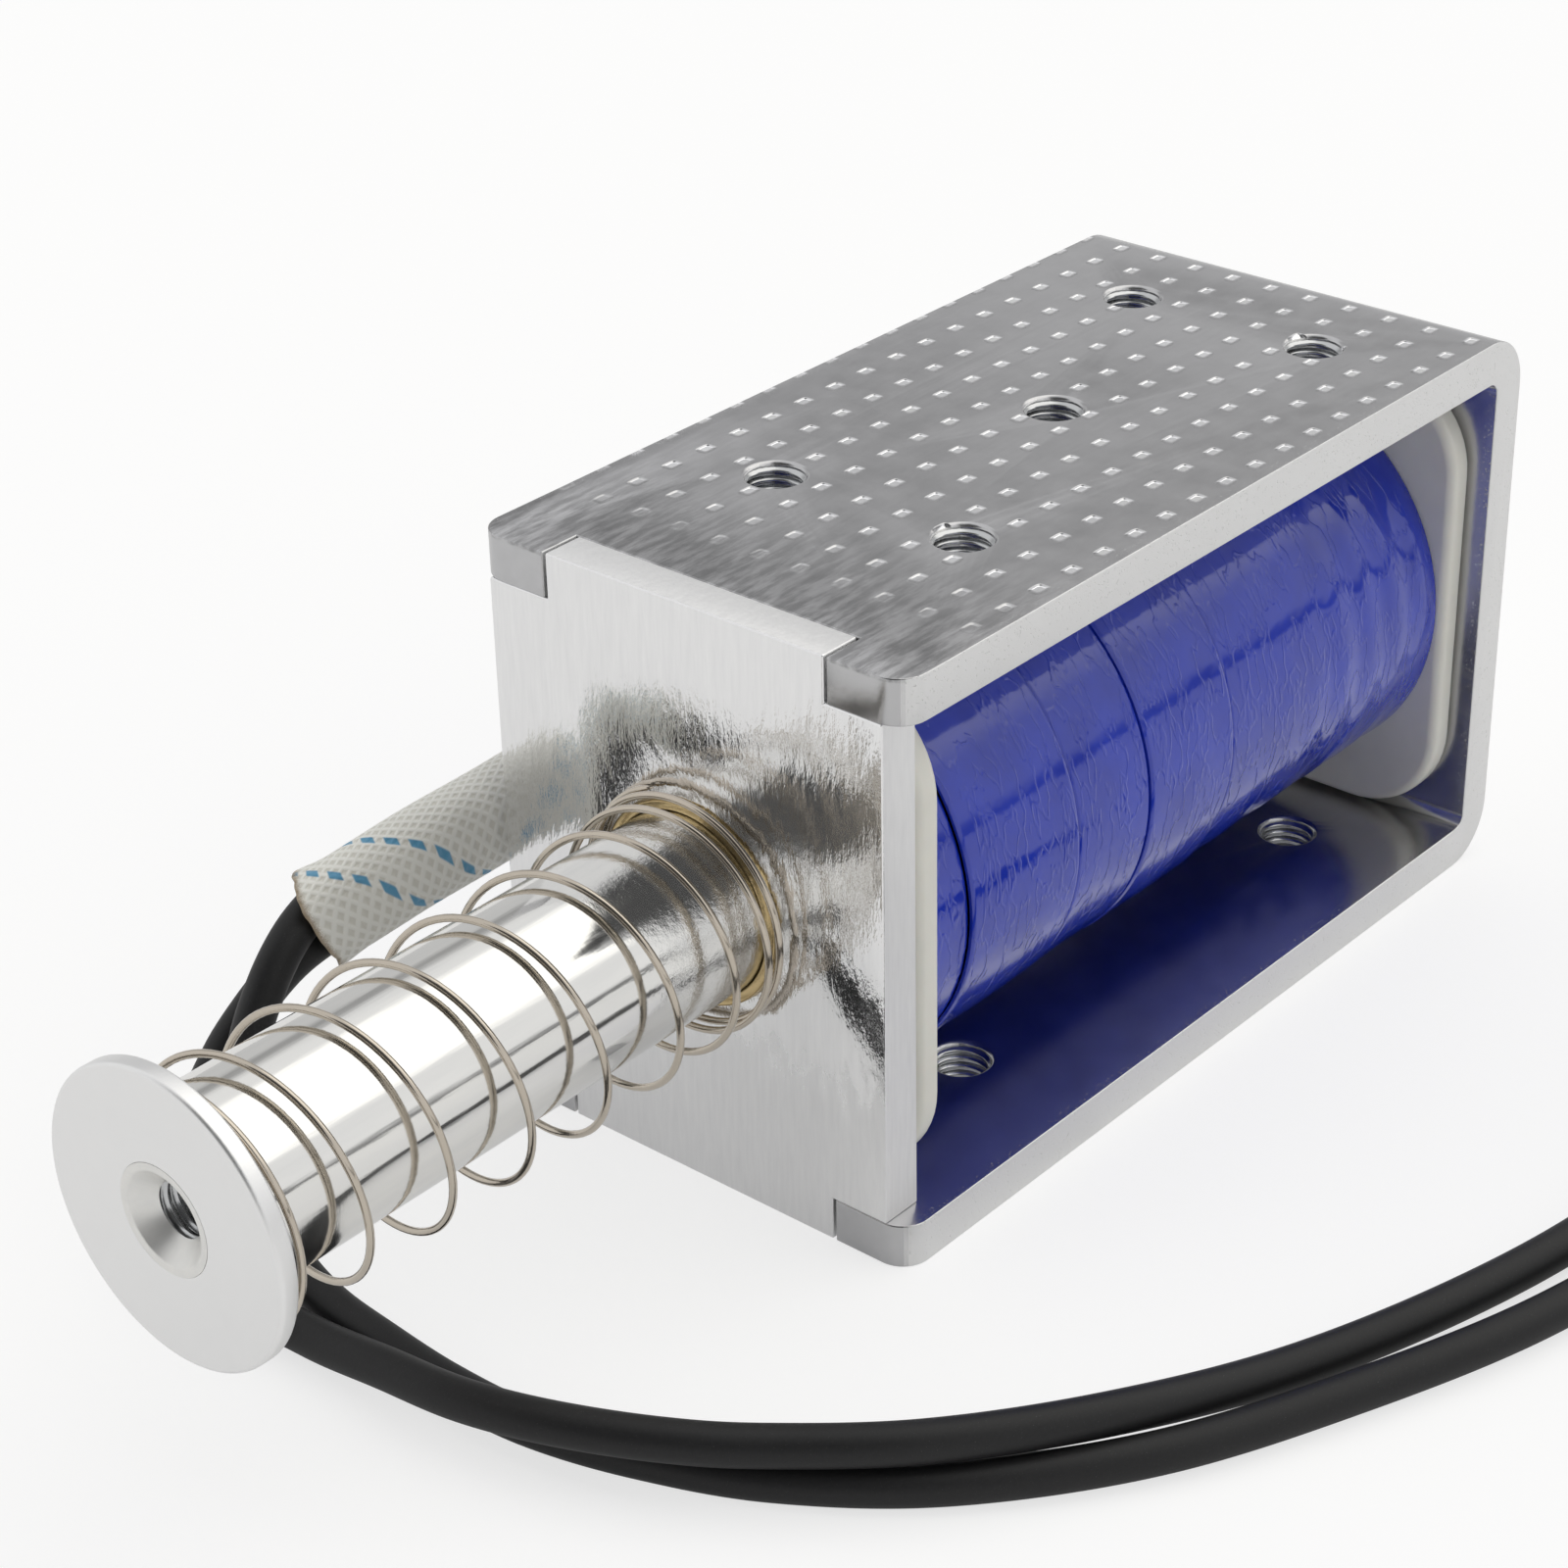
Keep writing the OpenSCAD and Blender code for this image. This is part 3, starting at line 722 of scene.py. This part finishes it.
def make_thread(name, centre, axis, length, root, finish, body):
    """A thread in a hole: the radius swings between the tap's and the root's as height less turn crosses
    each pitch, and the thread fades in and out at its ends."""
    pitch, fade = THREAD_PITCH, 0.4
    rows, sides = int(length / pitch * 14), 64
    h = np.linspace(0, length, rows)[:, None]
    a = np.linspace(0, TURN, sides, endpoint=False)[None]
    phase = h / pitch - a / TURN
    saw = np.abs(2 * (phase - np.floor(phase)) - 1)
    depth = np.clip(saw * 1.35 - 0.15, 0, 1)
    edge = ease(h / fade) * ease((length - h) / fade)
    r = root - (root - tap_radius) * depth * edge
    flat = np.stack([r * np.cos(a), r * np.sin(a), h + 0 * a], -1)
    turn = Vector(axis).to_track_quat("Z", "Y").to_matrix()
    points = flat.reshape(-1, 3) @ np.array(turn).T + np.array(centre)
    faces = grid_faces(rows, sides, wrap_cols=True)
    thread = make_piece(name, points, faces, finish, body, even=False, sharp=60)
    thread.data.flip_normals()
    return thread


bevelled_copy("u_frame", "channel_frame", frame_plate, 0.28, change=open_thread_holes)
bevelled_copy("front_plate", "front_plate_body", front_steel, 0.15)
chamfer = 0.5
for number, (cx, cy) in enumerate(hole_centres()):
    for level, name in ((0, "base"), (frame_high[2] - plate_t, "top")):
        make_thread(f"{name}_thread_{number + 1}", (cx, cy, level + chamfer / 2), (0, 0, 1),
                    plate_t - chamfer, THREAD_ROOT + 0.02, thread_steel, "housing")


# ---------------------------------------------------------------- bobbin, tape and guide tube

def rounded_outline(half_w, half_h, radius, steps=14):
    """Outline of a round-cornered rectangle: four arcs joined by straight sides."""
    corners = [(half_w - radius, half_h - radius, 0), (radius - half_w, half_h - radius, 90),
               (radius - half_w, radius - half_h, 180), (half_w - radius, radius - half_h, 270)]
    return np.concatenate([arc((cx, cy), radius, a, a + 90, steps) for cx, cy, a in corners])


def make_bobbin():
    """Two soft-edged flanges on a barrel: each is a ring of half-round section carried round its outline."""
    half = (bobbin_high - bobbin_low)[1:] / 2
    thick, corner, edge, bore, barrel = 2.8, 8.4, 0.9, 8.35, 9.6
    barrel_gap = 0.1
    quarter = np.radians(np.linspace(0, 90, 7))
    rise, fall = edge - edge * np.cos(quarter), edge - edge * np.sin(quarter)
    depth = np.concatenate([[0, 0], rise, thick - fall, [thick, thick]])
    inset = np.concatenate([[None, edge], fall, rise, [edge, None]])
    centre_y = (bobbin_low[1] + bobbin_high[1]) / 2
    points, faces = [], []
    count = 0
    for x0 in (bobbin_low[0], bobbin_high[0] - thick):
        rings = []
        for d, i in zip(depth, inset):
            if i is None:
                line = rounded_outline(half[0], half[1], corner)
                a = np.arctan2(line[:, 1], line[:, 0])
                line = np.stack([bore * np.cos(a), bore * np.sin(a)], -1)
            else:
                line = rounded_outline(half[0] - i, half[1] - i, max(corner - i, 0.5))
            x = np.full(len(line), x0 + d)
            rings.append(np.stack([x, centre_y + line[:, 0], axis_z + line[:, 1]], -1))
        grid = np.stack(rings)
        points.append(grid.reshape(-1, 3))
        faces.append(grid_faces(len(grid), grid.shape[1], True, True) + count)
        count += len(points[-1])
    start, end = bobbin_low[0] + barrel_gap, bobbin_high[0] - barrel_gap
    tube_points, tube_faces = turned([(start, bore), (start, barrel), (end, barrel), (end, bore)], 96)
    points.append(tube_points.reshape(-1, 3))
    faces.append(tube_faces + count)
    return make_piece("bobbin_moulding", np.concatenate(points), np.concatenate(faces), ivory, "housing",
                      ["bobbin"])


make_bobbin()


def make_tape(number):
    """A wrapped band of film: a ring whose radius carries low waves and, towards the rear, wrinkles, and
    falls at both edges."""
    low, high = box_mm(f"tape_band_{number}")
    outer = (high[2] - low[2]) / 2
    gap, sunk, film, fold, fold_width = 0.02, 0.14, 0.5, 0.12, 0.15
    rows, sides = max(24, int((high[0] - low[0]) * 5)), 420
    x = np.linspace(low[0] + gap, high[0] - gap, rows)[:, None]
    a = np.linspace(0, TURN, sides, endpoint=False)[None]
    loose = ease((x - 5) / 20)
    waves = 0.03 * ripple(x, a, number, 10, (0.2, 0.9))
    wrinkles = 0.07 * loose * ripple(x, a, number + 9, 14, (0.4, 1.6))
    r = outer - sunk + waves + wrinkles
    edge = np.minimum(x - low[0], high[0] - x)
    r = r - fold * (1 - ease(edge / fold_width))
    grid = np.stack([x + 0 * a, r * np.cos(a), axis_z + r * np.sin(a)], -1)
    inner = outer - film
    ends = [np.stack([np.full(sides, e), inner * np.cos(a[0]), axis_z + inner * np.sin(a[0])], -1)[None]
            for e in (low[0] + gap, high[0] - gap)]
    grid = np.concatenate([ends[0], grid, ends[1]])
    return make_piece(f"tape_wrap_{number}", grid, grid_faces(len(grid), sides, True, True), blue_tape,
                      "housing", [f"tape_band_{number}"], even=False)


for number in range(1, 6):
    make_tape(number)


def make_guide_tube():
    """Drawn tube with a rolled lip at the front plate."""
    low, high = box_mm("guide_tube")
    bore, outer = 7.75, 8.25
    lip = (high[2] - low[2]) / 2
    profile = filleted([(high[0], bore), (low[0], bore), (low[0], lip), (x_front, lip), (x_front, outer),
                        (high[0], outer), (high[0], bore)], [0.18, 0.2, 0.1, 0, 0], 6)
    points, faces = turned(profile)
    return make_piece("guide_tube_brass", points, faces, brass, "housing", ["guide_tube"])


make_guide_tube()

for node, finish in (("coil_winding", copper), ("lead_joint_a", solder), ("lead_joint_b", solder),
                     ("lead_tape", blue_tape), ("fixed_core", core_steel), ("retaining_ring", clip_steel)):
    for item in bpy.data.objects:
        if item.type == "MESH" and item.name.split(".")[0] == node:
            item.data.materials.clear()
            item.data.materials.append(finish)


# ---------------------------------------------------------------- plunger and its parts

SPIGOT_R = 4.3


def make_plunger():
    """Turned bar with a riveted front spigot, a countersunk tapped hole and a conical nose."""
    head, shoulder, nose = plunger_low[0], disc_high[0], plunger_high[0]
    bar = (plunger_high[2] - plunger_low[2]) / 2
    bore, mouth, sink, bore_depth, nose_bore, nose_depth, cone, tip = 2.45, 3.7, 1.5, 16, 2, 12, 7.5, 3.2
    points = [(head + bore_depth, 0), (head + bore_depth, bore), (head + sink, bore),
              (head + sink, bore - 0.3), (head, mouth), (head, SPIGOT_R), (shoulder, SPIGOT_R),
              (shoulder, bar - 0.4), (shoulder + 0.4, bar), (nose - cone - 0.2, bar),
              (nose - cone, bar - 0.2), (nose, tip), (nose, nose_bore), (nose - nose_depth, nose_bore),
              (nose - nose_depth, 0)]
    radii = [0, 0, 0, 0.35, 0, 0, 0, 0.15, 0.1, 0.1, 0.2, 0.1, 0, 0]
    grid, faces = turned(filleted(points, radii), 160)
    return make_piece("plunger_bar", grid, faces, plunger_steel, "armature", ["plunger"])


def make_disc():
    """Pressed washer: a flat ring with rolled edges."""
    front, back = disc_low[0], disc_high[0]
    outer = (disc_high[2] - disc_low[2]) / 2
    profile = filleted([(back, SPIGOT_R), (front, SPIGOT_R), (front, outer), (back, outer), (back, SPIGOT_R)],
                       [0.08, 0.35, 0.25], 6)
    grid, faces = turned(profile, 160)
    return make_piece("plunger_head_disc", grid, faces, disc_steel, "armature", ["plunger_disc"])


def make_rod():
    """Ground rod with a clip groove near its rear end and a chamfered tip."""
    clip_low, clip_high = box_mm("retaining_ring")
    r = (rod_high[2] - rod_low[2]) / 2
    groove, chamfer = r - 0.5, 0.4
    points = [(rod_low[0], 0), (rod_low[0], r), (clip_low[0], r), (clip_low[0], groove),
              (clip_high[0], groove), (clip_high[0], r), (rod_high[0] - chamfer, r),
              (rod_high[0], r - chamfer), (rod_high[0], 0)]
    grid, faces = turned(filleted(points, [0, 0.05, 0.05, 0.05, 0.05, 0.1, 0.1]), 96)
    return make_piece("push_rod_bar", grid, faces, rod_steel, "armature", ["push_rod"])


make_plunger()
make_disc()
make_rod()
head_sink, head_tapped, head_root = 1.45, 12, 2.47
make_thread("head_thread", (plunger_low[0] + head_sink, 0, axis_z), (1, 0, 0), head_tapped, head_root,
            thread_steel, "armature")


def make_spring():
    """Return spring: x grows by the closed pitch and, between the closed end turns, by the opened pitch,
    which ramps in over its first turns and out over its last. Its middle hangs below the axis by a half
    sine."""
    low, high = box_mm("return_spring")
    wire, mean, sag = 0.3, 9.55, 1.15
    closed, opening, closing, turns = 1.0, 1.3, 2.8, 10.2
    start, end = low[0] + wire, high[0] - wire
    closed_pitch = 2 * wire + 0.02
    open_turns = turns - 2 * closed - (opening + closing) / 2
    open_pitch = closed_pitch + (end - start - closed_pitch * turns) / open_turns
    n = np.linspace(0, turns, int(turns * 72))

    def ramp(s, w):
        return np.where(s <= 0, 0, np.where(s < w, s * s / (2 * w), s - w / 2))

    x = start + closed_pitch * n + (open_pitch - closed_pitch) * (
        ramp(n - closed, opening) - ramp(n - turns + closed + closing, closing))
    a = TURN * n
    drop = sag * np.sin(math.pi * n / turns)
    path = np.stack([x, mean * np.cos(a), axis_z - drop + mean * np.sin(a)], -1)
    out = np.stack([0 * a, np.cos(a), np.sin(a)], -1)
    b = np.linspace(0, TURN, 16, endpoint=False)[:, None]
    ring = np.cos(b) * out[:, None] + np.sin(b) * np.array([1.0, 0, 0])
    size = wire * np.concatenate([[0, 0.7], np.ones(len(n) - 4), [0.7, 0]])
    grid = path[:, None] + size[:, None, None] * ring
    spring = make_piece("return_spring_wire", grid, grid_faces(len(grid), 16, wrap_cols=True), spring_wire,
                        "housing", ["return_spring"], even=False)
    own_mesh(spring)


make_spring()


# ---------------------------------------------------------------- studio

def floor_finish():
    """White floor. Part of what the camera and the metal see of it is its own light, so its shadows stay
    soft."""
    material = bpy.data.materials.new("floor_white")
    material.use_nodes = True
    f = Nodes(material.node_tree)
    white, brightness, camera_share, glossy_share = 0.88, 1.14, 0.62, 0.25
    camera, glossy = f.add("ShaderNodeLightPath", out=("Is Camera Ray", "Is Glossy Ray"))
    paint = f.add("ShaderNodeBsdfDiffuse", sockets={"Color": (white, white, white)})
    glow = f.add("ShaderNodeEmission", sockets={"Strength": brightness})
    lit = camera * camera_share + glossy * glossy_share
    seen = f.add("ShaderNodeMixShader", sockets={0: lit, 1: paint, 2: glow})
    f.add("ShaderNodeOutputMaterial", sockets={0: seen})
    return material


def studio():
    """A white floor in a tent: a warm light panel overhead, grey walls and a dark opening behind the
    camera."""
    floor = bpy.data.meshes.new("floor")
    reach = 4.0
    floor.from_pydata([(-reach, -reach, 0), (reach, -reach, 0), (reach, reach, 0), (-reach, reach, 0)], [],
                      [(0, 1, 2, 3)])
    floor.materials.append(floor_finish())
    ground = bpy.data.objects.new("floor", floor)
    bpy.context.scene.collection.objects.link(ground)
    world = bpy.data.worlds.new("surround")
    bpy.context.scene.world = world
    world.use_nodes = True
    f = Nodes(world.node_tree)
    where = f.add("ShaderNodeTexCoord", out="Generated")

    def towards(*direction):
        """Cosine of the angle to a direction."""
        return f.add("ShaderNodeVectorMath", {"operation": "DOT_PRODUCT"},
                     {0: where, 1: Vector(direction).normalized()}, out="Value")

    height = towards(0, 0, 1)
    panel = towards(0.50, -0.22, 0.84).between(0.80, 0.90)
    opening = towards(-0.74, -0.24, 0.62).between(0.76, 0.86)
    far_wall = towards(0.76, 0.65, 0.0).between(0.45, 0.8)
    eave = height.between(0.36, 0.47) * height.between(0.62, 0.5) * far_wall
    skirting = height.between(0.10, 0.02) * towards(0.67, -0.74, 0).between(0.2, 0.6)
    wall = 0.86 - far_wall * 0.26 * height.between(0.7, 0.4)
    level = wall + panel * 0.62
    level = level * (1 - opening * 0.90) * (1 - eave * 0.45) * (1 - skirting * 0.8)
    camera = f.add("ShaderNodeLightPath", out="Is Camera Ray")
    tint = f.mix(panel * (1 - camera), (1.0, 1.0, 1.0), (1.0, 0.985, 0.945))
    back = f.add("ShaderNodeBackground", sockets={"Color": tint, "Strength": level * (1 - camera) + camera})
    f.add("ShaderNodeOutputWorld", sockets={0: back})
    bpy.context.scene.view_settings.view_transform = "Standard"


studio()
